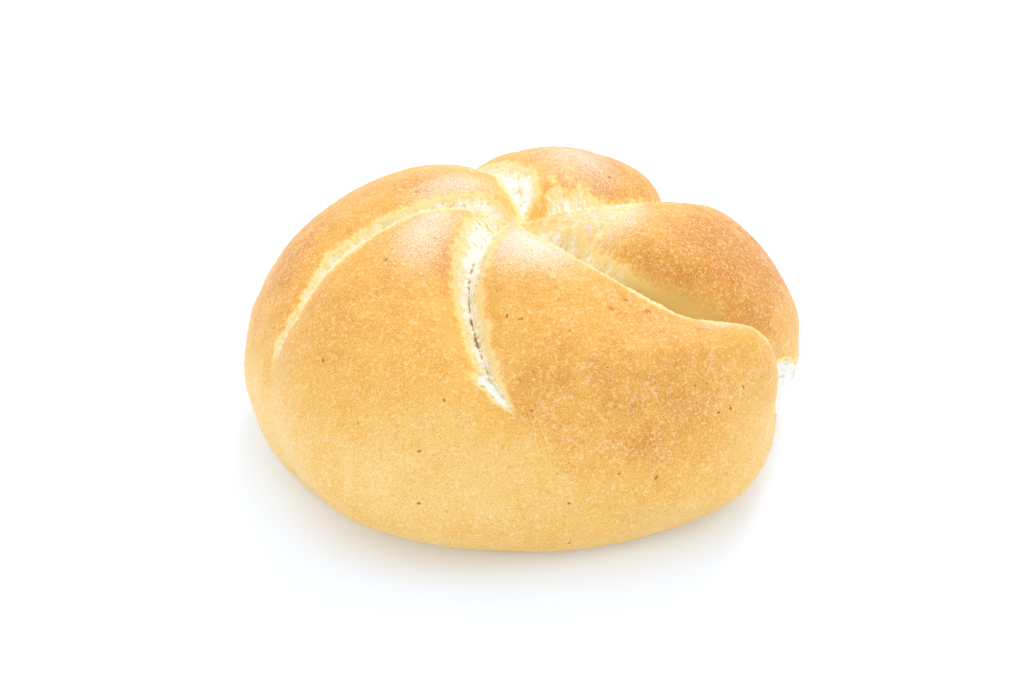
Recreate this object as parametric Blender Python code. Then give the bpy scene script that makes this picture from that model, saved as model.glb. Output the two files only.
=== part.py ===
"""Kaiser roll: a round crusty wheat roll whose five curved folds meet in a sunken hub on its crown.

Metres, +Z up. The origin is the middle of the flat underside, and the front of the roll faces -Y.
The roll is one solid. A UV sphere is its cage: the sphere's meridians are bent so that one of them
runs down every fold, and each vertex then moves onto the skin of the baked roll.
"""

import math
from collections import namedtuple

import bmesh
import bpy
import numpy as np
from mathutils import Vector, noise

MM = 0.001

# The plain bun, before its petals swell and its folds sink.
GIRTH_RADIUS = 53.4 * MM
GIRTH_HEIGHT = 14.3 * MM
CROWN_HEIGHT = 49.1 * MM
BASE_RADIUS = 45.3 * MM
CROWN_POWER = 0.91  # 1 is an ellipse, and less makes the shoulders fuller
HEEL_POWER = 1.14  # the same for the curve from the girth down to the underside
GIRTH_ANGLE = 90.0  # degrees down the profile, with 0 at the crown and 180 under the base
HEEL_ANGLE = 150.0  # where the underside turns flat
FLAT_FROM = (118.0, 144.0)  # petals and folds die out across these angles
PROFILE_STEP = 0.5  # degrees either side of a point when its normal is taken

# Waves round the girth, since a roll shaped by hand is never quite round. The height of a wave is
# half the way from its trough to its crest, and its heading is that of one crest.
WAVE_FROM = (10.0, 60.0)  # the waves grow across these angles
Wave = namedtuple("Wave", "count height heading")
WAVES = (
    Wave(count=2, height=0.42 * MM, heading=-42.0),
    Wave(count=3, height=0.34 * MM, heading=33.0),
    Wave(count=4, height=0.58 * MM, heading=32.0),
)

# The folds, which swing counterclockwise on their way out from the hub. curl shapes the swing: under
# 1 a fold swings most near the hub, and over 1 most near the girth.
HUB_DEPTH = 6.6 * MM
HUB_RADIUS = 12.0 * MM  # past this each fold has its own depth
SWING_STOP = 115.0  # the angle past which a meridian runs straight
LIP_POWER = 1.2  # 1 is a sharp V, 2 a soft dent
CLOSING_STRETCH = 45.0  # degrees of the profile over which a fold closes up
Fold = namedtuple("Fold", "heading swing curl depth half_width end")
FOLDS = (
    Fold(heading=172.2, swing=32.3, curl=0.53, depth=8.9 * MM, half_width=4.0 * MM, end=98.0),
    Fold(heading=222.8, swing=60.4, curl=0.79, depth=4.8 * MM, half_width=3.8 * MM, end=88.0),
    Fold(heading=293.5, swing=47.8, curl=0.64, depth=10.3 * MM, half_width=4.5 * MM, end=122.0),
    Fold(heading=380.2, swing=39.7, curl=1.24, depth=8.0 * MM, half_width=4.6 * MM, end=112.0),
    Fold(heading=437.1, swing=39.9, curl=0.51, depth=4.4 * MM, half_width=4.8 * MM, end=112.0),
)

# The petals, each after the fold of the same number. puff is how far it has swollen, and a lean
# over 1 carries its peak towards the next fold.
PUFF_RADIUS = 22.0 * MM  # a petal swells fully from here outwards
PUFF_FADE = (95.0, 140.0)  # and less and less across these angles
ARCH_POWERS = (0.65, 2.2)  # a petal's arch near the hub, and where its folds have closed
ARCH_CHANGE = (50.0, 100.0)
Petal = namedtuple("Petal", "puff lean")
PETALS = (
    Petal(puff=5.9 * MM, lean=0.80),
    Petal(puff=3.5 * MM, lean=0.77),
    Petal(puff=2.0 * MM, lean=0.77),
    Petal(puff=3.3 * MM, lean=1.34),
    Petal(puff=0.8 * MM, lean=1.14),
)

# The knuckle, where the front right petal bulges beside the end of its right-hand fold.
KNUCKLE_PETAL = 1
KNUCKLE_HEIGHT = 9.5 * MM
KNUCKLE_OFFSET = 6.4 * MM  # from the fold
KNUCKLE_ANGLE = 62.2
KNUCKLE_SPREAD = (17.2 * MM, 7.8, 17.7)  # across, and in degrees up and down the profile
KNUCKLE_LIP = 2.5 * MM  # the bulge stops short of the fold

# Torn crumb on the walls of the folds.
CRAG_HEIGHT = 2.4 * MM
CRAG_SIZE = 3.6 * MM
CRAG_REACH = 4.6 * MM  # either side of a fold
CRAG_OCTAVES = 2
OCTAVE_FALL = 0.8
OCTAVE_STEP = 2.1

# The mesh.
COLUMNS = 20  # in each petal
RINGS = 42
CROWN_RINGS = 0.70  # share of the rings above the girth
HEEL_RINGS = 0.22


def smoothstep(low, high, value):
    """0 below low, 1 above high, with an even S between them."""
    t = np.clip((value - low) / (high - low), 0.0, 1.0)
    return t * t * (3.0 - 2.0 * t)


def bun_profile(angle):
    """Radius and height of the plain bun at an angle down its profile."""
    crown = np.radians(np.minimum(angle, GIRTH_ANGLE))
    heel_share = np.clip((angle - GIRTH_ANGLE) / (HEEL_ANGLE - GIRTH_ANGLE), 0.0, 1.0)
    turn = heel_share * math.pi / 2.0
    inward = np.clip((180.0 - angle) / (180.0 - HEEL_ANGLE), 0.0, 1.0)
    heel_out = np.clip(np.cos(turn), 0.0, 1.0) ** HEEL_POWER
    crown_up = np.clip(np.cos(crown), 0.0, 1.0) ** CROWN_POWER
    heel_radius = BASE_RADIUS * inward + (GIRTH_RADIUS - BASE_RADIUS) * heel_out
    heel_height = GIRTH_HEIGHT * (1.0 - np.sin(turn) ** HEEL_POWER)
    crown_height = GIRTH_HEIGHT + (CROWN_HEIGHT - GIRTH_HEIGHT) * crown_up
    above = angle <= GIRTH_ANGLE
    radius = np.where(above, GIRTH_RADIUS * np.sin(crown), heel_radius)
    return radius, np.where(above, crown_height, heel_height)


def profile_normal(angle):
    """Outward and upward parts of the plain bun's normal."""
    r_before, z_before = bun_profile(np.maximum(angle - PROFILE_STEP, 0.0))
    r_after, z_after = bun_profile(np.minimum(angle + PROFILE_STEP, 180.0))
    length = np.hypot(r_after - r_before, z_after - z_before)
    return (z_before - z_after) / length, (r_after - r_before) / length


def girth_waves(bearing, angle):
    """How far the flank stands out or in, for the roll is not quite round."""
    swings = [wave.height * np.cos(wave.count * (bearing - math.radians(wave.heading))) for wave in WAVES]
    return sum(swings) * smoothstep(*WAVE_FROM, angle)


def sizes_of(things, name, number):
    """One size of the folds or petals with these numbers, where number 5 is number 0 again."""
    return np.array([getattr(thing, name) for thing in things])[number % len(things)]


def fold_bearing(number, angle):
    """The compass angle of a fold, in radians, at an angle down the profile."""
    whole_turns = 360.0 * (number // len(FOLDS))
    way_out = np.minimum(angle, SWING_STOP) / GIRTH_ANGLE
    swung = sizes_of(FOLDS, "swing", number) * way_out ** sizes_of(FOLDS, "curl", number)
    return np.radians(sizes_of(FOLDS, "heading", number) + whole_turns + swung)


def open_share(number, angle):
    """1 where a fold gapes, down to 0 where it has closed up."""
    end = sizes_of(FOLDS, "end", number)
    return 1.0 - smoothstep(end - CLOSING_STRETCH, end, angle)


def fold_dent(number, angle, radius, distance):
    """How deep the dent of a fold is at a distance from its line."""
    own = smoothstep(0.0, HUB_RADIUS, radius)
    own_depth = sizes_of(FOLDS, "depth", number) * open_share(number, angle)
    depth = HUB_DEPTH + (own_depth - HUB_DEPTH) * own
    return depth * np.exp(-((distance / sizes_of(FOLDS, "half_width", number)) ** LIP_POWER))


def fold_crag(number, angle, distance):
    """How torn the crumb is beside a fold."""
    return open_share(number, angle) * np.exp(-((distance / CRAG_REACH) ** 2))


def knuckle(petal, angle, distance):
    """The bulge beside the end of one fold."""
    wide, upwards, downwards = KNUCKLE_SPREAD
    across = (distance - KNUCKLE_OFFSET) / wide
    past = angle - KNUCKLE_ANGLE
    along = past / np.where(past < 0.0, upwards, downwards)
    bulge = KNUCKLE_HEIGHT * np.exp(-(across**2) - along**2)
    clear_of_fold = 1.0 - np.exp(-((distance / KNUCKLE_LIP) ** 2))
    return np.where(petal == KNUCKLE_PETAL, bulge * clear_of_fold, 0.0)


def petal_swell(petal, share, angle, radius):
    """How far a petal has risen at a share of the way across it."""
    near_hub, closed = ARCH_POWERS
    arch_power = near_hub + (closed - near_hub) * smoothstep(*ARCH_CHANGE, angle)
    leaning = share ** sizes_of(PETALS, "lean", petal)
    arch = np.clip(np.sin(np.pi * leaning), 0.0, 1.0) ** arch_power
    full = smoothstep(0.0, PUFF_RADIUS, radius) * (1.0 - smoothstep(*PUFF_FADE, angle))
    return sizes_of(PETALS, "puff", petal) * arch * full


def crag_noise(points):
    """Rough heights around 0, one for each point."""
    spots = [Vector(point) / CRAG_SIZE for point in points]
    return np.array([noise.fractal(spot, OCTAVE_FALL, OCTAVE_STEP, CRAG_OCTAVES) for spot in spots])


def skin(across, along):
    """Points on the roll. across counts petals round it, along runs from the hub to under the base."""
    petal = np.floor(across).astype(int)
    share = (1.0 - np.cos(np.pi * (across - petal))) / 2.0  # columns crowd towards the folds
    ring_stops = (0.0, CROWN_RINGS, CROWN_RINGS + HEEL_RINGS, 1.0)
    angle = np.interp(along, ring_stops, (0.0, GIRTH_ANGLE, HEEL_ANGLE, 180.0))
    radius, height = bun_profile(angle)
    out, up = profile_normal(angle)
    start = fold_bearing(petal, angle)
    finish = fold_bearing(petal + 1, angle)
    bearing = start + (finish - start) * share
    to_start = radius * (bearing - start)
    to_finish = radius * (finish - bearing)

    plain = np.stack([radius * np.cos(bearing), radius * np.sin(bearing), height], axis=1)
    torn = np.maximum(fold_crag(petal, angle, to_start), fold_crag(petal + 1, angle, to_finish))
    dent = np.maximum(
        fold_dent(petal, angle, radius, to_start),
        fold_dent(petal + 1, angle, radius, to_finish),
    )
    lift = petal_swell(petal, share, angle, radius) + knuckle(petal, angle, to_finish) - dent
    lift += girth_waves(bearing, angle)
    lift += CRAG_HEIGHT * torn * crag_noise(plain)
    lift *= 1.0 - smoothstep(*FLAT_FROM, angle)
    normal = np.stack([out * np.cos(bearing), out * np.sin(bearing), up], axis=1)
    return plain + normal * lift[:, np.newaxis]


def roll_mesh():
    """The UV sphere with its vertices moved onto the skin, centred on its underside."""
    cage = bmesh.new()
    bmesh.ops.create_uvsphere(cage, u_segments=COLUMNS * len(FOLDS), v_segments=RINGS, radius=1.0)
    unit = np.array([vertex.co for vertex in cage.verts], float)
    bearing = np.arctan2(unit[:, 1], unit[:, 0]) % math.tau
    across = np.round(bearing / math.tau * len(FOLDS), 4) % len(FOLDS)
    along = np.arccos(np.clip(unit[:, 2], -1.0, 1.0)) / math.pi
    points = skin(across, along)
    middle = (points.max(axis=0) + points.min(axis=0)) / 2.0
    points[:, :2] -= middle[:2]
    for vertex, point in zip(cage.verts, points):
        vertex.co = point
    mesh = bpy.data.meshes.new("kaiser_roll")
    cage.to_mesh(mesh)
    cage.free()
    mesh.shade_smooth()
    return mesh


def crust_material():
    """Golden baked wheat crust."""
    material = bpy.data.materials.new("crust")
    material.use_nodes = True
    shader = material.node_tree.nodes["Principled BSDF"]
    shader.inputs["Base Color"].default_value = (0.83, 0.50, 0.18, 1.0)
    shader.inputs["Roughness"].default_value = 0.55
    return material


def main():
    for thing in list(bpy.data.objects):
        bpy.data.objects.remove(thing)
    collection = bpy.data.collections.new("kaiser_roll")
    bpy.context.scene.collection.children.link(collection)
    roll = bpy.data.objects.new("kaiser_roll", roll_mesh())
    roll.data.materials.append(crust_material())
    collection.objects.link(roll)


main()
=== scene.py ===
"""Kaiser roll, dressed: five petals of baked wheat crust parted by torn folds, on a white floor.

Metres, +Z up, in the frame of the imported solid. Every petal is a grid of columns, from the fold
before it to the fold after it, and rings, from the hub on the crown to the middle of the underside.
The form functions are those of the solid, and so are nearly all of their sizes. Relief too fine for
the solid, such as torn crumb, cracks and lumps, is then raised on them.
"""

import math
from collections import namedtuple

import bpy
import numpy as np
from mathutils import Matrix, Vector, noise


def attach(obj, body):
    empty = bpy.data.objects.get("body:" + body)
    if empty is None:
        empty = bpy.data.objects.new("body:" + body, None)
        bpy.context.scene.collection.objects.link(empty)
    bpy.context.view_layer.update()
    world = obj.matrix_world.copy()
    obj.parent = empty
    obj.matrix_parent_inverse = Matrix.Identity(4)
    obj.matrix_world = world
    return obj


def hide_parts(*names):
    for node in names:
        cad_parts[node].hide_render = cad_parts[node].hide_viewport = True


MM = 0.001

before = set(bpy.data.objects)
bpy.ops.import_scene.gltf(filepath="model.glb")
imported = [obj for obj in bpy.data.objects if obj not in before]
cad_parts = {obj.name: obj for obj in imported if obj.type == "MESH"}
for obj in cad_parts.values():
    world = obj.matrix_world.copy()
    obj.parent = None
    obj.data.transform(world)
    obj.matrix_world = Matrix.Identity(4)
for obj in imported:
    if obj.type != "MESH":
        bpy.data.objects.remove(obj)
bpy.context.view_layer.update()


# ---------------------------------------------------------------- the form of the roll

# The plain bun, before its petals swell and its folds sink.
GIRTH_RADIUS = 53.4 * MM
GIRTH_HEIGHT = 14.3 * MM
CROWN_HEIGHT = 49.1 * MM
BASE_RADIUS = 45.3 * MM
CROWN_POWER = 0.91
HEEL_POWER = 1.14
GIRTH_ANGLE = 90.0  # degrees down the profile, with 0 at the crown and 180 under the base
HEEL_ANGLE = 150.0
FLAT_FROM = (118.0, 144.0)
PROFILE_STEP = 0.5
CENTRE_SHIFT = (-0.538 * MM, -0.471 * MM)  # puts the middle of the box on the origin

# Waves round the girth.
WAVE_FROM = (10.0, 60.0)
Wave = namedtuple("Wave", "count height heading")
WAVES = (
    Wave(count=2, height=0.42 * MM, heading=-42.0),
    Wave(count=3, height=0.34 * MM, heading=33.0),
    Wave(count=4, height=0.58 * MM, heading=32.0),
)

# The folds, which swing counterclockwise on their way out from the hub.
HUB_DEPTH = 6.6 * MM
HUB_RADIUS = 12.0 * MM
SWING_STOP = 115.0  # degrees down the profile, past which the folds run straight down
LIP_POWER = 1.2
CLOSING_STRETCH = 45.0  # degrees that a fold takes to close
HOOK_SPAN = (40.0, 58.0)  # the angles across which a fold's end hooks further round
Fold = namedtuple("Fold", "heading swing curl hook depth half_width end")
FOLDS = (
    Fold(heading=172.2, swing=32.3, curl=0.53, hook=5.5, depth=8.9 * MM, half_width=4.0 * MM, end=76.0),
    Fold(heading=222.8, swing=60.4, curl=0.79, hook=0.0, depth=4.8 * MM, half_width=3.8 * MM, end=76.0),
    Fold(heading=293.5, swing=47.8, curl=0.64, hook=0.0, depth=10.3 * MM, half_width=4.5 * MM, end=122.0),
    Fold(heading=380.2, swing=39.7, curl=1.24, hook=0.0, depth=8.0 * MM, half_width=4.6 * MM, end=112.0),
    Fold(heading=437.1, swing=39.9, curl=0.51, hook=0.0, depth=4.4 * MM, half_width=4.8 * MM, end=112.0),
)
CREASE_ROUND = (1.0 * MM, 2.6 * MM)  # how round the bottom of a fold is, open and closed

# The petals, each after the fold of the same number.
PUFF_RADIUS = 22.0 * MM
PUFF_FADE = (95.0, 140.0)
ARCH_POWERS = (0.65, 2.2)
ARCH_ROUND = 0.05  # how softly the arch of a petal rises out of a fold
ARCH_CHANGE = (50.0, 100.0)
Petal = namedtuple("Petal", "name puff lean")
PETALS = (
    Petal(name="front_left_petal", puff=5.9 * MM, lean=0.80),
    Petal(name="front_right_petal", puff=3.5 * MM, lean=0.77),
    Petal(name="right_petal", puff=2.0 * MM, lean=0.77),
    Petal(name="back_petal", puff=3.3 * MM, lean=1.34),
    Petal(name="left_back_petal", puff=0.8 * MM, lean=1.14),
)

# The knuckle, where the front right petal bulges beside the end of its right-hand fold.
KNUCKLE_PETAL = 1
KNUCKLE_HEIGHT = 9.5 * MM
KNUCKLE_OFFSET = 6.4 * MM
KNUCKLE_ANGLE = 61.5
KNUCKLE_SPREAD = (17.2 * MM, 8.9, 17.6)
KNUCKLE_LIP = 2.5 * MM

# The grid of each petal.
COLUMNS = 200
RINGS = 420
COLUMN_CROWDING = 0.55  # 0 spaces the columns evenly, and towards 1 they crowd at the folds
CROWN_RINGS = 0.80  # share of the rings above the girth
HEEL_RINGS = 0.17
MEETING_COLUMNS = 5  # how many columns bend where two petals meet


def smoothstep(low, high, value):
    """0 below low, 1 above high, with an even S between them."""
    t = np.clip((value - low) / (high - low), 0.0, 1.0)
    return t * t * (3.0 - 2.0 * t)


def bun_profile(angle):
    """Radius and height of the plain bun at an angle down its profile."""
    crown = np.radians(np.minimum(angle, GIRTH_ANGLE))
    heel_share = np.clip((angle - GIRTH_ANGLE) / (HEEL_ANGLE - GIRTH_ANGLE), 0.0, 1.0)
    turn = heel_share * math.pi / 2.0
    inward = np.clip((180.0 - angle) / (180.0 - HEEL_ANGLE), 0.0, 1.0)
    heel_out = np.clip(np.cos(turn), 0.0, 1.0) ** HEEL_POWER
    crown_up = np.clip(np.cos(crown), 0.0, 1.0) ** CROWN_POWER
    heel_radius = BASE_RADIUS * inward + (GIRTH_RADIUS - BASE_RADIUS) * heel_out
    heel_height = GIRTH_HEIGHT * (1.0 - np.sin(turn) ** HEEL_POWER)
    crown_height = GIRTH_HEIGHT + (CROWN_HEIGHT - GIRTH_HEIGHT) * crown_up
    above = angle <= GIRTH_ANGLE
    radius = np.where(above, GIRTH_RADIUS * np.sin(crown), heel_radius)
    return radius, np.where(above, crown_height, heel_height)


def profile_normal(angle):
    """Outward and upward parts of the plain bun's normal."""
    r_before, z_before = bun_profile(np.maximum(angle - PROFILE_STEP, 0.0))
    r_after, z_after = bun_profile(np.minimum(angle + PROFILE_STEP, 180.0))
    length = np.hypot(r_after - r_before, z_after - z_before)
    return (z_before - z_after) / length, (r_after - r_before) / length


def girth_waves(bearing, angle):
    """How far the flank stands out or in, for the roll is not quite round."""
    swings = [wave.height * np.cos(wave.count * (bearing - math.radians(wave.heading))) for wave in WAVES]
    return sum(swings) * smoothstep(*WAVE_FROM, angle)


def the_fold(number):
    """The fold of this number, where fold 5 is fold 0 again."""
    return FOLDS[number % len(FOLDS)]


def fold_bearing(number, angle):
    """The compass angle of a fold, in radians, at an angle down the profile."""
    fold = the_fold(number)
    whole_turns = 360.0 * (number // len(FOLDS))
    way_out = np.minimum(angle, SWING_STOP) / GIRTH_ANGLE
    swung = fold.swing * way_out**fold.curl + fold.hook * smoothstep(*HOOK_SPAN, angle)
    return np.radians(fold.heading + whole_turns + swung)


def open_share(number, angle):
    """1 where a fold gapes, down to 0 where it has closed up."""
    end = the_fold(number).end
    return 1.0 - smoothstep(end - CLOSING_STRETCH, end, angle)


def fold_dent(number, angle, radius, distance):
    """How deep the dent of a fold is at a distance from its line."""
    fold = the_fold(number)
    gape = open_share(number, angle)
    own = smoothstep(0.0, HUB_RADIUS, radius)
    depth = HUB_DEPTH + (fold.depth * gape - HUB_DEPTH) * own
    crisp, soft = CREASE_ROUND
    rounded = np.hypot(distance, soft + (crisp - soft) * gape)
    return depth * np.exp(-((rounded / fold.half_width) ** LIP_POWER))


def knuckle(angle, distance):
    """The bulge beside the end of one fold."""
    wide, upwards, downwards = KNUCKLE_SPREAD
    across = (distance - KNUCKLE_OFFSET) / wide
    past = angle - KNUCKLE_ANGLE
    along = past / np.where(past < 0.0, upwards, downwards)
    clear_of_fold = 1.0 - np.exp(-((distance / KNUCKLE_LIP) ** 2))
    return KNUCKLE_HEIGHT * np.exp(-(across**2) - along**2) * clear_of_fold


def petal_swell(petal, share, angle, radius):
    """How far a petal has risen at a share of the way across it."""
    near_hub, closed = ARCH_POWERS
    arch_power = near_hub + (closed - near_hub) * smoothstep(*ARCH_CHANGE, angle)
    arch = np.hypot(np.sin(np.pi * share**petal.lean), ARCH_ROUND) ** arch_power
    full = smoothstep(0.0, PUFF_RADIUS, radius) * (1.0 - smoothstep(*PUFF_FADE, angle))
    return petal.puff * arch * full


# ---------------------------------------------------------------- torn crumb

# The two walls of each fold, with each measure as pairs of an angle down the profile and its value
# there. width is how far torn crumb reaches up the wall from the bottom of the fold, in mm. fade is how
# many mm it takes to whiten from the edge of the crust, white how white it gets, and ragged how
# unevenly it tore.
Wall = namedtuple("Wall", "width fade white ragged")
WALLS_BEFORE = (  # on the petal before the fold
    Wall(
        width=(
            (3, 1.5), (8, 5.2), (14, 6.2), (22, 6.6), (30, 6.1), (38, 5.4), (45, 4.9), (52, 4.1),
            (58, 2.9), (64, 2.1), (70, 1.3), (76, 0.0),
        ),
        fade=((0, 1.4), (45, 1.8), (60, 1.6)),
        white=((0, 0.8), (20, 0.75), (40, 0.7), (60, 0.65)),
        ragged=((0, 0.20), (22, 0.12), (50, 0.12), (60, 0.40)),
    ),
    Wall(
        width=(
            (3, 0.6), (8, 3.2), (14, 3.0), (20, 2.6), (28, 2.3), (36, 2.1), (50, 1.7), (54, 1.6),
            (57, 3.2), (59, 2.4), (60, 1.8), (62, 2.3), (64, 1.5), (66, 0.4),
        ),
        fade=((0, 1.4), (20, 1.5), (45, 1.2), (54, 1.0), (57, 0.8), (64, 0.6)),
        white=((0, 0.6), (10, 0.7), (14, 1.2), (62, 1.2), (66, 0.3)),
        ragged=((0, 0.30), (90, 0.30)),
    ),
    Wall(
        width=(
            (3, 1.0), (14, 8.4), (22, 9.5), (30, 9.3), (38, 8.9), (45, 8.7), (54, 8.6), (60, 7.0),
            (66, 6.2), (70, 0.0),
        ),
        fade=((0, 1.4), (45, 1.4)),
        white=((0, 0.8), (30, 0.6), (60, 0.5)),
        ragged=((0, 0.05), (90, 0.05)),
    ),
    Wall(
        width=(
            (3, 1.2), (9, 6.0), (15, 9.0), (22, 10.0), (27, 7.0), (35, 4.0), (60, 2.5),
            (90, 1.5), (105, 0.0),
        ),
        fade=((0, 2.4), (45, 2.0)),
        white=((0, 0.7), (22, 0.8), (30, 0.5)),
        ragged=((0, 0.35), (90, 0.35)),
    ),
    Wall(
        width=((3, 1.0), (8, 3.0), (12, 3.4), (22, 2.6), (40, 2.6), (60, 1.8), (95, 1.2), (108, 0.0)),
        fade=((0, 0.9), (25, 1.6), (60, 1.4)),
        white=((0, 1.1), (25, 1.0), (40, 0.6)),
        ragged=((0, 0.20), (90, 0.20)),
    ),
)
WALLS_AFTER = (  # on the petal after it
    Wall(
        width=(
            (3, 1.0), (12, 5.0), (20, 8.4), (30, 9.2), (44, 9.4), (52, 6.5), (58, 5.0), (64, 3.5),
            (69, 2.0), (73, 0.0),
        ),
        fade=((0, 1.6), (20, 2.6), (50, 2.2), (60, 1.4)),
        white=((0, 0.8), (20, 0.6), (60, 0.6)),
        ragged=((0, 0.08), (90, 0.08)),
    ),
    Wall(
        width=(
            (3, 0.5), (9, 3.0), (14, 4.4), (18, 4.4), (25, 3.6), (32, 3.0), (45, 2.3), (54, 1.6),
            (60, 0.6), (64, 0.0),
        ),
        fade=((0, 1.4), (20, 1.8), (30, 2.6), (50, 2.4), (60, 1.2)),
        white=((0, 1.2), (24, 1.2), (32, 0.7), (60, 0.4)),
        ragged=((0, 0.26), (90, 0.26)),
    ),
    # On this wall the crumb is kept from whitening past 30°, and painted shade darkens it, for it faces
    # away from the light.
    Wall(
        width=(
            (3, 0.8), (8, 3.2), (12, 3.8), (20, 3.4), (30, 2.7), (38, 2.5), (50, 2.4), (56, 1.8),
            (62, 1.0), (75, 1.0), (80, 8.0), (86, 12.5), (96, 14.5), (106, 11.5), (116, 6.5),
            (128, 0.0),
        ),
        fade=((0, 1.6), (28, 1.8), (36, 3.2), (74, 3.2), (90, 1.6)),
        white=((0, 0.8), (18, 1.2), (24, 1.1), (28, 0.6), (34, 0.3), (72, 0.3), (80, 1.2)),
        ragged=((0, 0.40), (26, 0.36), (36, 0.12), (80, 0.12), (100, 0.30)),
    ),
    Wall(
        width=(
            (6, 0.0), (8, 2.5), (13, 3.6), (17, 3.1), (20, 2.0), (26, 1.6), (45, 1.9),
            (80, 1.4), (105, 0.0),
        ),
        fade=((0, 0.9), (20, 1.4), (45, 1.4)),
        white=((0, 1.1), (17, 1.1), (26, 0.6)),
        ragged=((0, 0.45), (90, 0.45)),
    ),
    Wall(
        width=((3, 0.4), (8, 2.2), (14, 2.9), (25, 2.5), (45, 2.0), (80, 1.6), (105, 0.0)),
        fade=((0, 1.0), (45, 1.2)),
        white=((0, 1.0), (25, 0.8), (45, 0.5)),
        ragged=((0, 0.20), (90, 0.20)),
    ),
)
CRUST_STRIP = 0.60  # each wall's crumb takes at most this share of a petal's width
RAGGED_SIZES = ((0.8, 3.5 * MM), (0.8, 1.4 * MM), (0.6, 0.6 * MM))  # shares and sizes of the tears
EDGE_FADE = 1.6 * MM  # how far the crust is still thinned past the edge of the crumb
LEAST_TORN = -3.0
FULL_CRUMB = 0.5  # how torn a wall is where its crumb is fully rough
CLOSED_GAP = 4.0 * MM  # how far the crumb draws back below the fold's line past the end of a wall
CLOSED_SPAN = 5.0  # degrees

EDGE_DROP = 0.4 * MM  # from the edge of the crust down to the crumb
DROP_REACH = 1.8 * MM  # how far from the edge it takes to drop
EDGE_CURL = 0.15 * MM  # by which the edge of the crust curls up
CURL_REACH = 0.9 * MM
CRUMB_CLUMPS = ((0.40 * MM, 2.4 * MM), (0.34 * MM, 1.0 * MM), (0.30 * MM, 0.5 * MM))  # heights and sizes
STRAND_HEIGHT = 0.22 * MM
STRAND_SIZE = (0.5 * MM, 1.6 * MM)  # along the fold, and across it
SHRED_DEPTH = 0.8 * MM  # a hollow this deep looks fully shaded

CRACK_DEPTH = 0.12 * MM
CRACK_HALF_WIDTH = 0.17 * MM
# Painted shade in the cracks: how much it darkens the crack of each fold.
CRACK_SHADES = (0.4, 1.9, 0.5, 0.4, 0.0)  # how dark the crack of each fold is
CRACK_OPENS = (14.0, 26.0)  # the angles across which it opens
CRACK_ENDS = (50.0, 57.0)  # and those across which it ends
CRACK_BREAKS = 1.6 * MM  # it is wide and narrow by turns over this length
CRACK_GAPS = (-0.45, 0.25)  # how rough a place is where it is shut, and where it gapes
CRACK_UNEVEN = 0.8  # how much its width changes with that roughness

FOLD_WANDER = (0.26 * MM, 3.5)  # how far a fold's line strays, and over how many degrees
# How many mm aside the front fold is pushed, at angles down the profile.
FOLD_KINKS = {1: ((42, 0.0), (50, -0.4), (56, -1.1), (60, -0.7), (66, 0.0))}

# From one fold to the next through the noise, so that no two of them are alike.
WANDER_STEP = 7.3
TEAR_STEP = 31.0
BREAK_STEP = 3.1

OCTAVE_FALL = 0.8
OCTAVE_STEP = 2.1


def rough(points, octaves):
    """Smooth random heights around 0, one for each point, with features about 1 unit across."""
    spots = [Vector(point) for point in points]
    return np.array([noise.fractal(spot, OCTAVE_FALL, OCTAVE_STEP, octaves) for spot in spots])


def on_plane(first, second):
    """Points for rough() from two coordinates, either of which may be one number for them all."""
    first, second = np.broadcast_arrays(first, second)
    return np.stack([first, second, np.zeros_like(first)], axis=1)


def at_angle(pairs, angle):
    """A value given at a few angles down the profile, read off at any angle."""
    return np.interp(angle, *zip(*pairs))


def along_profile(angle):
    """Roughly how many metres down the profile an angle is."""
    return GIRTH_RADIUS * np.radians(angle)


def fold_wander(number, angle):
    """Metres that a fold's line strays sideways, the same for both of its petals."""
    far, size = FOLD_WANDER
    number = number % len(FOLDS)
    kink = at_angle(FOLD_KINKS.get(number, ((0, 0.0),)), angle) * MM
    stray = rough(on_plane(angle / size, WANDER_STEP * number), octaves=3)
    return kink + far * stray * smoothstep(*CRACK_OPENS, angle)


def torn_amount(number, wall, spots, distance):
    """How torn a wall is: 0 at the edge of the crust, 1 at white crumb, less than 0 on whole crust.
    Also how far each point is inside that edge."""
    angle = spots.angle
    uneven = np.zeros_like(angle)
    for amount, size in RAGGED_SIZES:
        uneven += amount * rough(spots.plain / size + TEAR_STEP * number, octaves=2)
    last_angle = wall.width[-1][0]
    closed = smoothstep(last_angle - CLOSED_SPAN, last_angle + CLOSED_SPAN, angle)
    width = at_angle(wall.width, angle) * MM
    reach = np.minimum(width * (1.0 + at_angle(wall.ragged, angle) * uneven), spots.room * CRUST_STRIP)
    within = reach - CLOSED_GAP * closed - distance
    torn = within / np.where(within > 0.0, at_angle(wall.fade, angle) * MM, EDGE_FADE)
    return np.clip(torn, LEAST_TORN, at_angle(wall.white, angle)), within


def crack(number, angle, distance):
    """How far the narrow split along the bottom of a fold gapes."""
    uneven = rough(on_plane(along_profile(angle) / CRACK_BREAKS, BREAK_STEP * number), octaves=3)
    gape = smoothstep(*CRACK_OPENS, angle) * (1.0 - smoothstep(*CRACK_ENDS, angle))
    gape = gape * smoothstep(*CRACK_GAPS, uneven)
    return gape * np.exp(-((distance / (CRACK_HALF_WIDTH * (1.0 + CRACK_UNEVEN * uneven))) ** 2))


def crumb_relief(spots):
    """The height of torn crumb: clumps with hollows between, and strands drawn out across the fold."""
    narrow, long = STRAND_SIZE
    distance = np.minimum(spots.to_start, spots.to_finish)
    clumps = sum(height * rough(spots.plain / size, octaves=2) for height, size in CRUMB_CLUMPS)
    strands = rough(on_plane(along_profile(spots.angle) / narrow, distance / long), octaves=2)
    return clumps + STRAND_HEIGHT * strands


# ---------------------------------------------------------------- crust

LUMPS = ((0.32 * MM, 15.0 * MM), (0.14 * MM, 5.0 * MM), (0.09 * MM, 1.2 * MM))  # heights and sizes
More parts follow.
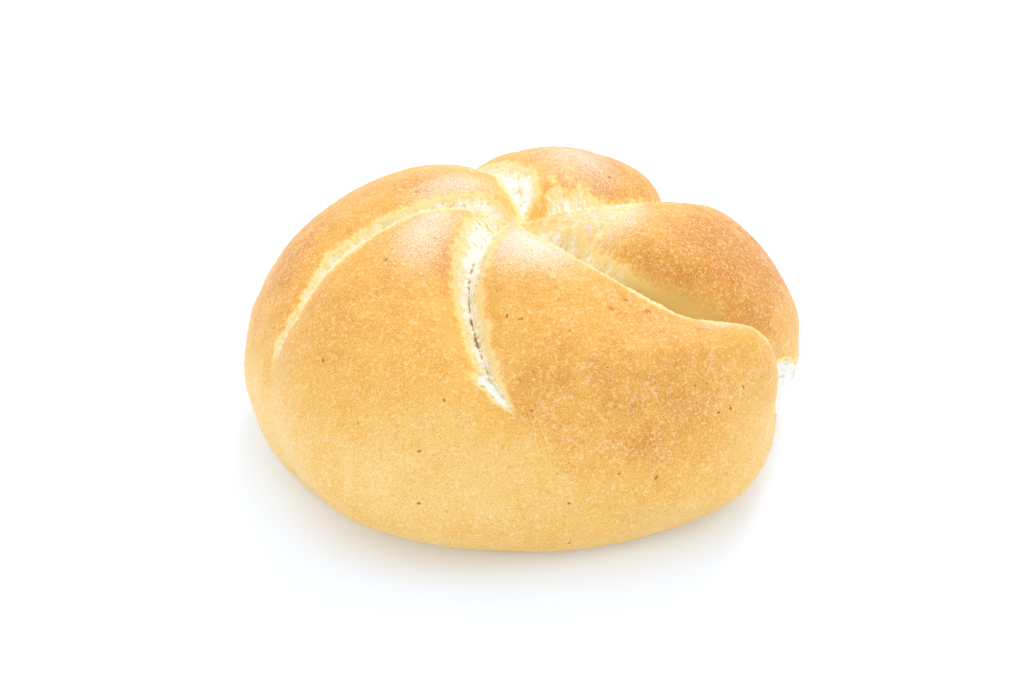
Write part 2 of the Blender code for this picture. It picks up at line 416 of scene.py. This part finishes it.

# How brown the crust is: over 0 is deeper and under 0 is paler than the rest. Low on the flanks it is
# paler partly from lighter baking and partly as painted light bounced up from the white floor.
BROWNING_AND_BOUNCE_DOWN = ((0, -0.11), (25, 0.11), (60, 0.07), (85, -0.11), (105, -0.16), (125, -0.26))
Patch = namedtuple("Patch", "petal share angle width length amount")  # width as a share, length in degrees
PATCHES = (
    Patch(petal=0, share=0.55, angle=76.0, width=0.45, length=18.0, amount=-0.22),
    Patch(petal=1, share=0.75, angle=45.0, width=0.30, length=16.0, amount=0.17),
    Patch(petal=1, share=0.36, angle=73.0, width=0.34, length=16.0, amount=0.30),
    Patch(petal=1, share=0.72, angle=78.0, width=0.24, length=14.0, amount=-0.12),
    Patch(petal=0, share=0.28, angle=58.0, width=0.35, length=20.0, amount=0.17),
    Patch(petal=3, share=0.34, angle=30.0, width=0.45, length=24.0, amount=0.28),
    Patch(petal=2, share=0.65, angle=76.0, width=0.35, length=18.0, amount=0.30),
    Patch(petal=0, share=0.06, angle=94.0, width=0.16, length=14.0, amount=-0.35),
    Patch(petal=4, share=0.94, angle=94.0, width=0.16, length=14.0, amount=-0.35),
    Patch(petal=2, share=0.35, angle=48.0, width=0.50, length=24.0, amount=0.38),
    Patch(petal=2, share=0.40, angle=8.0, width=0.70, length=9.0, amount=-0.40),
    Patch(petal=4, share=0.70, angle=54.0, width=0.30, length=25.0, amount=0.24),
    Patch(petal=4, share=0.60, angle=20.0, width=0.22, length=10.0, amount=0.20),
    Patch(petal=0, share=0.84, angle=24.0, width=0.10, length=9.0, amount=0.35),
)
# Where the crust is painted with a pinkish white sheen: a painted highlight standing in for the softbox's
# soft reflection on the tops of the petals.
PAINTED_SHEEN_PATCHES = (
    Patch(petal=0, share=0.62, angle=24.0, width=0.30, length=16.0, amount=0.95),
    Patch(petal=1, share=0.45, angle=21.0, width=0.45, length=12.0, amount=1.15),
    Patch(petal=1, share=0.82, angle=55.0, width=0.07, length=3.5, amount=0.9),
    Patch(petal=2, share=0.50, angle=17.0, width=0.50, length=11.0, amount=1.25),
    Patch(petal=3, share=0.45, angle=24.0, width=0.50, length=16.0, amount=0.85),
    Patch(petal=4, share=0.62, angle=16.0, width=0.45, length=13.0, amount=0.9),
)

# Nicks in the crust of the front right petal.
NICK_DEPTH = 0.35 * MM
NICK_BAKE = 0.6  # how much deeper their edges browned
NICKS = (
    Patch(petal=1, share=0.68, angle=41.1, width=0.014, length=0.5, amount=1.0),
    Patch(petal=1, share=0.70, angle=45.4, width=0.020, length=0.5, amount=1.0),
    Patch(petal=1, share=0.58, angle=42.5, width=0.008, length=0.5, amount=0.8),
)

# Where the thin crust beside the hub has broken into crumbs.
SCUFF_SIZE = 1.8 * MM
SCUFF_BIAS = 0.35
SCUFF_GAIN = 2.6
SCUFF_TORN = (-1.0, 0.45)  # how torn the crust is where it is whole, and at most
SCUFFS = (
    Patch(petal=2, share=0.35, angle=12.0, width=0.50, length=9.0, amount=1.2),
    Patch(petal=3, share=0.25, angle=12.0, width=0.25, length=7.0, amount=0.8),
)

# Painted shade: crumb and crust on the sheltered side of a petal, painted pale olive.
PAINTED_SHADE_PATCHES = (
    Patch(petal=2, share=0.00, angle=44.0, width=0.11, length=19.0, amount=1.25),
    Patch(petal=2, share=0.14, angle=13.0, width=0.14, length=6.0, amount=0.42),
    Patch(petal=3, share=0.97, angle=13.0, width=0.05, length=4.0, amount=0.6),
    Patch(petal=4, share=0.86, angle=26.0, width=0.06, length=14.0, amount=0.32),
)

# Where the crust has crazed most, past the ends of the folds.
CRAZES = (
    Patch(petal=0, share=0.95, angle=76.0, width=0.07, length=6.0, amount=1.0),
    Patch(petal=1, share=0.05, angle=70.0, width=0.09, length=7.0, amount=1.5),
    Patch(petal=1, share=0.50, angle=66.0, width=0.30, length=8.0, amount=0.25),
    Patch(petal=4, share=0.97, angle=74.0, width=0.06, length=8.0, amount=0.8),
)

# White knots of crumb where the front fold closes.
KNOT_HEIGHT = 0.8 * MM
KNOTS = (
    Patch(petal=0, share=0.965, angle=58.0, width=0.035, length=1.8, amount=1.0),
    Patch(petal=0, share=0.985, angle=62.0, width=0.028, length=1.8, amount=0.9),
)


def crust_relief(points):
    """The uneven bake of the crust: broad lumps with dimples and a fine grain on them."""
    return sum(height * rough(points / size, octaves=2) for height, size in LUMPS)


def patched(patches, number, spots):
    """The sum of one petal's patches at each of its points."""
    total = np.zeros_like(spots.angle)
    for patch in patches:
        if patch.petal == number:
            across = (spots.share - patch.share) / patch.width
            down = (spots.angle - patch.angle) / patch.length
            total += patch.amount * np.exp(-(across**2) - down**2)
    return total


# ---------------------------------------------------------------- petals

# Where the points of a petal are on the plain bun: the share of the way across the petal, the angle
# down the profile, the place, and the metres to the fold before, to the fold after and between them.
Spots = namedtuple("Spots", "share angle radius bearing plain to_start to_finish room")


def petal_spots(number):
    """A petal's grid of points on the plain bun, ring by ring from the hub."""
    even = np.linspace(0.0, 1.0, COLUMNS + 1)
    crowded = even - COLUMN_CROWDING * np.sin(math.tau * even) / math.tau
    ring_stops = (0.0, CROWN_RINGS, CROWN_RINGS + HEEL_RINGS, 1.0)
    along = np.linspace(0.0, 1.0, RINGS + 1)[1:-1]
    ring_angle = np.interp(along, ring_stops, (0.0, GIRTH_ANGLE, HEEL_ANGLE, 180.0))
    share, angle = (grid.ravel() for grid in np.meshgrid(crowded, ring_angle))

    radius, height = bun_profile(angle)
    start = fold_bearing(number, angle) + fold_wander(number, angle) / GIRTH_RADIUS
    finish = fold_bearing(number + 1, angle) + fold_wander(number + 1, angle) / GIRTH_RADIUS
    bearing = start + (finish - start) * share
    return Spots(
        share=share,
        angle=angle,
        radius=radius,
        bearing=bearing,
        plain=np.stack([radius * np.cos(bearing), radius * np.sin(bearing), height], axis=1),
        to_start=radius * (bearing - start),
        to_finish=radius * (finish - bearing),
        room=radius * (finish - start),
    )


def petal_form(number, spots):
    """How far the form of a petal stands out from the plain bun, or how far in, below 0."""
    angle, radius = spots.angle, spots.radius
    before = fold_dent(number, angle, radius, spots.to_start)
    after = fold_dent(number + 1, angle, radius, spots.to_finish)
    swell = petal_swell(PETALS[number], spots.share, angle, radius)
    lift = swell + girth_waves(spots.bearing, angle) - np.maximum(before, after)
    if number == KNUCKLE_PETAL:
        lift = lift + knuckle(angle, spots.to_finish)
    return lift


def petal_cracks(number, spots):
    """How much painted shade darkens the cracks in the folds on both sides of a petal."""
    after = (number + 1) % len(FOLDS)
    near_start = crack(number, spots.angle, spots.to_start) * CRACK_SHADES[number]
    return near_start + crack(after, spots.angle, spots.to_finish) * CRACK_SHADES[after]


def petal_tears(number, spots):
    """How torn a petal is, and how far each point is inside the edge of its crust."""
    after = (number + 1) % len(FOLDS)
    torn_start, inside_start = torn_amount(number, WALLS_AFTER[number], spots, spots.to_start)
    torn_finish, inside_finish = torn_amount(after, WALLS_BEFORE[after], spots, spots.to_finish)
    whole, most = SCUFF_TORN
    scuffs = patched(SCUFFS, number, spots) * (SCUFF_BIAS + rough(spots.plain / SCUFF_SIZE, octaves=3))
    scuffed = np.minimum(SCUFF_GAIN * scuffs + whole, most)
    torn = np.maximum(np.maximum(torn_start, torn_finish), scuffed)
    return torn, np.maximum(inside_start, inside_finish)


def petal_skin(number):
    """Points of one petal, and what its surface is like at each."""
    spots = petal_spots(number)
    cracks = petal_cracks(number, spots)
    torn, inside = petal_tears(number, spots)
    crumb = crumb_relief(spots)
    nicks = patched(NICKS, number, spots)
    knots = patched(KNOTS, number, spots)

    open_crumb = smoothstep(0.0, FULL_CRUMB, torn)
    lift = petal_form(number, spots) - CRACK_DEPTH * cracks
    lift += open_crumb * crumb - EDGE_DROP * smoothstep(0.0, DROP_REACH, inside)
    lift += (1.0 - open_crumb) * crust_relief(spots.plain)
    lift += (1.0 - open_crumb) * EDGE_CURL * np.exp(-((torn * MM / CURL_REACH) ** 2))
    lift += KNOT_HEIGHT * knots - NICK_DEPTH * nicks
    lift *= 1.0 - smoothstep(*FLAT_FROM, spots.angle)

    out, up = profile_normal(spots.angle)
    normal = np.stack([out * np.cos(spots.bearing), out * np.sin(spots.bearing), up], axis=1)
    points = spots.plain + normal * lift[:, np.newaxis]
    points[:, :2] += CENTRE_SHIFT
    looks = {
        "torn": torn,
        # Painted shade of the crumb: its hollows and the cracks take it, and the knots stay clear of it.
        "crumb_shading": crumb / SHRED_DEPTH - cracks + knots,
        # Browning, which low on the flanks also holds painted light from the floor.
        "bake": at_angle(BROWNING_AND_BOUNCE_DOWN, spots.angle) + patched(PATCHES, number, spots) + NICK_BAKE * nicks,
        # Painted highlight on the tops of the petals.
        "painted_sheen": patched(PAINTED_SHEEN_PATCHES, number, spots),
        "craze": patched(CRAZES, number, spots),
        # Painted shade on the sheltered side of the petals.
        "painted_lee_shade": patched(PAINTED_SHADE_PATCHES, number, spots),
    }
    return points, looks


def join_petals(skins):
    """Bends the edges of neighbouring petals until they meet halfway, with one look between them."""
    row = COLUMNS + 1
    names = list(skins[0][1])
    depth = 3 + len(names)
    grids = [np.column_stack([points, *looks.values()]).reshape(-1, row, depth) for points, looks in skins]
    bend = np.exp(-((np.arange(row) / MEETING_COLUMNS) ** 2))[:, np.newaxis]
    halves = [(grids[number][:, :1] - grids[number - 1][:, -1:]) / 2.0 for number in range(len(grids))]
    for number, grid in enumerate(grids):
        grid += halves[(number + 1) % len(grids)] * bend[::-1] - halves[number] * bend
    flat = [grid.reshape(-1, depth) for grid in grids]
    return [(values[:, :3], dict(zip(names, values[:, 3:].T))) for values in flat]


def petal_mesh(number, points, looks):
    """One petal as a mesh, closed at the hub and at the middle of the underside."""
    row = COLUMNS + 1
    hub = (*CENTRE_SHIFT, CROWN_HEIGHT - HUB_DEPTH)
    base = (*CENTRE_SHIFT, 0.0)
    hub_number, base_number = len(points), len(points) + 1
    last_ring = len(points) - row
    faces = [(hub_number, column, column + 1) for column in range(COLUMNS)]
    for first in range(0, last_ring, row):
        faces += [(c, c + row, c + row + 1, c + 1) for c in range(first, first + COLUMNS)]
    faces += [(last_ring + column, base_number, last_ring + column + 1) for column in range(COLUMNS)]
    mesh = bpy.data.meshes.new(PETALS[number].name)
    mesh.from_pydata(np.vstack([points, hub, base]).tolist(), [], faces)
    for name, values in looks.items():
        with_ends = np.append(values, [values[0], values[-1]]).astype(np.float32)
        mesh.attributes.new(name, "FLOAT", "POINT").data.foreach_set("value", with_ends)
    mesh.shade_smooth()
    return mesh


# ---------------------------------------------------------------- materials


def colour(hex_code):
    """A linear RGBA colour from an sRGB hex code."""
    channels = [int(hex_code[i : i + 2], 16) / 255.0 for i in (1, 3, 5)]
    linear = [c / 12.92 if c <= 0.04045 else ((c + 0.055) / 1.055) ** 2.4 for c in channels]
    return (*linear, 1.0)


def per_mm(size):
    """The texture scale that makes a feature this many millimetres across."""
    return 1.0 / (size * MM)


def add_node(tree, kind, inputs=None, output=None, **settings):
    """Adds a node with its settings and links, and returns the named output, or else the node.
    inputs maps a socket to a value, or to the output that feeds it."""
    node = tree.nodes.new(kind)
    for name, value in settings.items():
        setattr(node, name, value)
    for socket, value in (inputs or {}).items():
        if isinstance(value, bpy.types.NodeSocket):
            tree.links.new(value, node.inputs[socket])
        else:
            node.inputs[socket].default_value = value
    return node if output is None else node.outputs[output]


def new_material(name):
    """An empty node material and its tree."""
    material = bpy.data.materials.new(name)
    material.use_nodes = True
    tree = material.node_tree
    tree.nodes.clear()
    return material, tree


BAKE_STEPS = (  # browning, and the colour it gives the crust
    (0.10, "#F3CD80"),
    (0.38, "#EEBA5C"),
    (0.62, "#E7A94A"),
    (0.90, "#CC7F2A"),
)
BROAD_SHARE = 0.40  # of the browning, beside what the bake gives
MOTTLE_SHARE = 0.52
FLECK_GRAIN = 0.7  # how much the fine grain adds to a fleck
BEND = 1.4 * MM  # how far the dough's grain bends the crackle and the specks
HAIR_HALF_WIDTH = 0.06  # as a share of a cell
CRAZE_GAIN = 0.2  # how much a crazed place adds to the chance of crackle
CRAZED = (0.50, 0.70)  # from which the crackle shows, and at which it shows in full
SPECK_RADII = (0.10, 0.20)  # of the dark middle and of the whole speck, as shares of a cell
SPECKLESS = 0.92  # the share of the cells that have no speck
NOISE_MIDDLE = 0.5
FRAY_TORN = 1.5  # how far the strands fray the edge of the crumb
FRAY_SHRED = 3.0  # and how much they shade the crumb

# What lies over what is under it: its colour, the amount from which and at which it shows, and its most.
Layer = namedtuple("Layer", "amount low high colour most")


def browned_colour(tree, here, bake):
    """The colour of plain crust: broad patches 14 mm across, broken up by mottling of 4 mm and less."""
    broad = add_node(
        tree, "ShaderNodeTexNoise", {"Vector": here, "Scale": per_mm(14.0), "Detail": 2.0}, output="Fac"
    )
    mottle = add_node(
        tree,
        "ShaderNodeTexNoise",
        {"Vector": here, "Scale": per_mm(4.0), "Detail": 4.0, "Roughness": 0.6},
        output="Fac",
    )
    brown = {0: broad, 1: BROAD_SHARE, 2: bake}
    brown = add_node(tree, "ShaderNodeMath", brown, output=0, operation="MULTIPLY_ADD")
    brown = {0: mottle, 1: MOTTLE_SHARE, 2: brown}
    brown = add_node(tree, "ShaderNodeMath", brown, output=0, operation="MULTIPLY_ADD")
    ramp = add_node(tree, "ShaderNodeValToRGB", {"Fac": brown})
    steps = ramp.color_ramp.elements
    for position, _ in BAKE_STEPS[1:-1]:
        steps.new(position)
    for step, (position, hex_code) in zip(steps, BAKE_STEPS):
        step.position = position
        step.color = colour(hex_code)
    return ramp.outputs["Color"]


def bent_places(tree, here):
    """The place of each point, bent by the grain of the dough."""
    bend = add_node(
        tree, "ShaderNodeTexNoise", {"Vector": here, "Scale": per_mm(1.2), "Detail": 2.0}, output="Color"
    )
    bent = {0: bend, 1: (BEND, BEND, BEND), 2: here}
    return add_node(tree, "ShaderNodeVectorMath", bent, output="Vector", operation="MULTIPLY_ADD")


def hairline_crackle(tree, here, bent, craze):
    """Hairlines between cells 2.4 mm across, in some places only."""
    cells = add_node(
        tree,
        "ShaderNodeTexVoronoi",
        {"Vector": bent, "Scale": per_mm(2.4)},
        output="Distance",
        feature="DISTANCE_TO_EDGE",
    )
    hairs = add_node(
        tree,
        "ShaderNodeMapRange",
        {"Value": cells, "From Min": 0.0, "From Max": HAIR_HALF_WIDTH, "To Min": 1.0, "To Max": 0.0},
        output="Result",
    )
    places = add_node(
        tree, "ShaderNodeTexNoise", {"Vector": here, "Scale": per_mm(5.0), "Detail": 3.0}, output="Fac"
    )
    places = {0: craze, 1: CRAZE_GAIN, 2: places}
    places = add_node(tree, "ShaderNodeMath", places, output=0, operation="MULTIPLY_ADD")
    low, high = CRAZED
    places = {"Value": places, "From Min": low, "From Max": high}
    places = add_node(tree, "ShaderNodeMapRange", places, output="Result")
    return add_node(tree, "ShaderNodeMath", {0: hairs, 1: places}, output=0, operation="MULTIPLY")


def scorched_specks(tree, bent):
    """Specks about half a millimetre across, and a centimetre or two apart."""
    cells = add_node(tree, "ShaderNodeTexVoronoi", {"Vector": bent, "Scale": per_mm(2.2)})
    from_middle = cells.outputs["Distance"]
    dark, whole = SPECK_RADII
    speck = add_node(
        tree,
        "ShaderNodeMapRange",
        {"Value": from_middle, "From Min": dark, "From Max": whole, "To Min": 1.0, "To Max": 0.0},
        output="Result",
    )
    chosen = add_node(tree, "ShaderNodeSeparateColor", {"Color": cells.outputs["Color"]}, output="Red")
    chosen = {0: chosen, 1: SPECKLESS}
    chosen = add_node(tree, "ShaderNodeMath", chosen, output=0, operation="GREATER_THAN")
    return add_node(tree, "ShaderNodeMath", {0: speck, 1: chosen}, output=0, operation="MULTIPLY")


def frayed_crumb(tree, here, torn, crumb_shading):
    """Torn crumb, frayed by strands 0.6 mm across and less, and the hollows between them, where less
    light gets in."""
    strands = add_node(
        tree,
        "ShaderNodeTexNoise",
        {"Vector": here, "Scale": per_mm(0.6), "Detail": 3.0, "Roughness": 0.7},
        output="Fac",
    )
    fray = add_node(tree, "ShaderNodeMath", {0: strands, 1: NOISE_MIDDLE}, output=0, operation="SUBTRACT")
    torn = {0: fray, 1: FRAY_TORN, 2: torn}
    torn = add_node(tree, "ShaderNodeMath", torn, output=0, operation="MULTIPLY_ADD")
    crumb_shading = {0: fray, 1: FRAY_SHRED, 2: crumb_shading}
    crumb_shading = add_node(tree, "ShaderNodeMath", crumb_shading, output=0, operation="MULTIPLY_ADD")
    open_crumb = {"Value": torn, "From Min": 0.0, "From Max": FULL_CRUMB, "To Max": 1.0}
    open_crumb = add_node(tree, "ShaderNodeMapRange", open_crumb, output="Result")
    hollow_shade = add_node(tree, "ShaderNodeMath", {0: open_crumb, 1: crumb_shading}, output=0, operation="MULTIPLY")
    return torn, hollow_shade


def baked_wheat_crust():
    """White wheat dough baked on a tray with a little steam: golden where the oven browned it, torn to
    cream crumb in the folds. The eye gets a satin crust with a fine pale grain, and a matt crumb."""
    material, tree = new_material("baked_wheat_crust")
    here = add_node(tree, "ShaderNodeTexCoord", output="Object")
    bake, painted_sheen, torn, crumb_shading, craze, painted_lee_shade = (
        add_node(tree, "ShaderNodeAttribute", output="Fac", attribute_name=look)
        for look in ("bake", "painted_sheen", "torn", "crumb_shading", "craze", "painted_lee_shade")
    )

    # Grain, about 0.3 mm across: starch swollen pale, and pinholes browned darker between.
    grain = add_node(
        tree,
        "ShaderNodeTexNoise",
        {"Vector": here, "Scale": per_mm(0.28), "Detail": 2.0, "Roughness": 0.6},
        output="Fac",
    )
    # Flecks, where the grain has swollen together in patches under 1 mm across.
    fleck = add_node(
        tree, "ShaderNodeTexNoise", {"Vector": here, "Scale": per_mm(0.8), "Detail": 2.0}, output="Fac"
    )
    fleck = {0: grain, 1: FLECK_GRAIN, 2: fleck}
    fleck = add_node(tree, "ShaderNodeMath", fleck, output=0, operation="MULTIPLY_ADD")
    # Painted sheen: where there is any, the palest grains turn pinkish white, as a painted highlight.
    painted_sheen_grain = add_node(tree, "ShaderNodeMath", {0: grain, 1: painted_sheen}, output=0, operation="MULTIPLY")

    bent = bent_places(tree, here)
    crackle = hairline_crackle(tree, here, bent, craze)
    speck = scorched_specks(tree, bent)
    torn, hollow_shade = frayed_crumb(tree, here, torn, crumb_shading)

    layers = (
        # Crust.
        Layer(amount=grain, low=0.49, high=0.70, colour="#FAD48C", most=0.55),
        Layer(amount=grain, low=0.46, high=0.28, colour="#BE7C30", most=0.6),
        Layer(amount=fleck, low=0.88, high=1.08, colour="#FDE0A6", most=0.48),
        # Painted highlight: the palest grains turned pinkish white.
        Layer(amount=painted_sheen_grain, low=0.165, high=0.659, colour="#F8E8DC", most=0.85),
        Layer(amount=crackle, low=0.0, high=1.0, colour="#FDE6B8", most=0.42),
        Layer(amount=speck, low=0.0, high=1.0, colour="#A8621E", most=0.9),
        # Crust thinned towards the tear, the rim of the tear, painted shade just under the curled edge of
        # the crust, and crumb that whitens inwards.
        Layer(amount=torn, low=-1.2, high=-0.3, colour="#F3C672", most=0.6),
        Layer(amount=torn, low=-0.7, high=0.05, colour="#F8DE9C", most=1.0),
        Layer(amount=torn, low=0.0, high=0.18, colour="#DDBD72", most=0.25),
        Layer(amount=torn, low=0.12, high=0.5, colour="#F7E9C2", most=1.0),
        Layer(amount=torn, low=0.6, high=1.0, colour="#FEFBF2", most=1.0),
        # Painted shade: pale olive on the sheltered side of a petal, and darker in the hollows of the
        # crumb and in the cracks.
        Layer(amount=painted_lee_shade, low=0.0, high=1.0, colour="#D2AE62", most=0.85),
        Layer(amount=hollow_shade, low=-0.08, high=-0.85, colour="#D6C084", most=0.80),
        Layer(amount=hollow_shade, low=-1.0, high=-1.8, colour="#C4924C", most=0.75),
    )
    skin = browned_colour(tree, here, bake)
    for layer in layers:
        share = add_node(
            tree,
            "ShaderNodeMapRange",
            {"Value": layer.amount, "From Min": layer.low, "From Max": layer.high, "To Max": layer.most},
            output="Result",
            interpolation_type="SMOOTHSTEP",
        )
        over = {"Factor": share, "A": skin, "B": colour(layer.colour)}
        skin = add_node(tree, "ShaderNodeMix", over, output="Result", data_type="RGBA")

    bump = {"Height": grain, "Strength": 1.0, "Distance": 0.05 * MM}
    bump = add_node(tree, "ShaderNodeBump", bump, output="Normal")
    shader = add_node(
        tree,
        "ShaderNodeBsdfPrincipled",
        {
            "Base Color": skin,
            "Roughness": 0.55,
            "IOR": 1.40,
            "Specular IOR Level": 0.25,
            "Subsurface Weight": 0.15,
            "Subsurface Scale": 0.8 * MM,
            "Subsurface Radius": (1.0, 0.7, 0.4),
            "Coat Weight": 0.18,
            "Coat Roughness": 0.36,
            "Coat IOR": 1.45,
            "Sheen Weight": 0.02,
            "Sheen Roughness": 0.35,
            "Sheen Tint": colour("#FFF0E0"),
            "Coat Normal": bump,
            "Normal": bump,
        },
        output="BSDF",
    )
    add_node(tree, "ShaderNodeOutputMaterial", {"Surface": shader})
    return material


def lit_white_acrylic():
    """White acrylic lit faintly from below: matt, and with soft, pale shadows."""
    material, tree = new_material("lit_white_acrylic")
    shader = add_node(
        tree,
        "ShaderNodeBsdfPrincipled",
        {
            "Base Color": colour("#E2EEFF"),
            "Roughness": 0.9,
            "Emission Color": colour("#F4F8FF"),
            "Emission Strength": 0.20,
        },
        output="BSDF",
    )
    add_node(tree, "ShaderNodeOutputMaterial", {"Surface": shader})
    return material


# ---------------------------------------------------------------- the roll

crust = baked_wheat_crust()
skins = join_petals([petal_skin(number) for number in range(len(PETALS))])
for number, petal in enumerate(PETALS):
    piece = bpy.data.objects.new(petal.name, petal_mesh(number, *skins[number]))
    piece.data.materials.append(crust)
    bpy.context.scene.collection.objects.link(piece)
    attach(piece, "root")
    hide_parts("kaiser_roll")


# ---------------------------------------------------------------- floor, light and camera

FLOOR_SIZE = 3.0
WALL_LIGHT = 1.08  # strength of the white studio all round
SOFTBOX_PLACE = Vector((0.15, 0.45, 0.65))  # behind the roll and over it
SOFTBOX_SIZE = 0.35
SOFTBOX_WATTS = 2.25
TILT = math.radians(29.0)  # of the camera below the level
DISTANCE = 0.472
AIM = Vector((-2.13 * MM, -0.47 * MM, 18.18 * MM))

bpy.ops.mesh.primitive_plane_add(size=FLOOR_SIZE)
floor = bpy.context.object
floor.name = "floor"
floor.data.materials.append(lit_white_acrylic())

world = bpy.data.worlds.new("white_studio")
bpy.context.scene.world = world
world.use_nodes = True
background = world.node_tree.nodes["Background"]
background.inputs["Color"].default_value = colour("#FFFFFF")
background.inputs["Strength"].default_value = WALL_LIGHT

softbox = bpy.data.lights.new("back_softbox", "AREA")
softbox.energy = SOFTBOX_WATTS
softbox.size = SOFTBOX_SIZE
lamp = bpy.data.objects.new("back_softbox", softbox)
lamp.location = SOFTBOX_PLACE
lamp.rotation_euler = (-SOFTBOX_PLACE).to_track_quat("-Z", "Y").to_euler()
bpy.context.scene.collection.objects.link(lamp)

camera_data = bpy.data.cameras.new("camera")
camera_data.lens = 85.0
camera_data.sensor_width = 36.0
camera_data.clip_start = 0.01
camera = bpy.data.objects.new("camera", camera_data)
back = Vector((0.0, -math.cos(TILT), math.sin(TILT)))
camera.location = AIM + back * DISTANCE
camera.rotation_euler = (-back).to_track_quat("-Z", "Y").to_euler()
bpy.context.scene.collection.objects.link(camera)
bpy.context.scene.camera = camera
bpy.context.scene.view_settings.view_transform = "Standard"
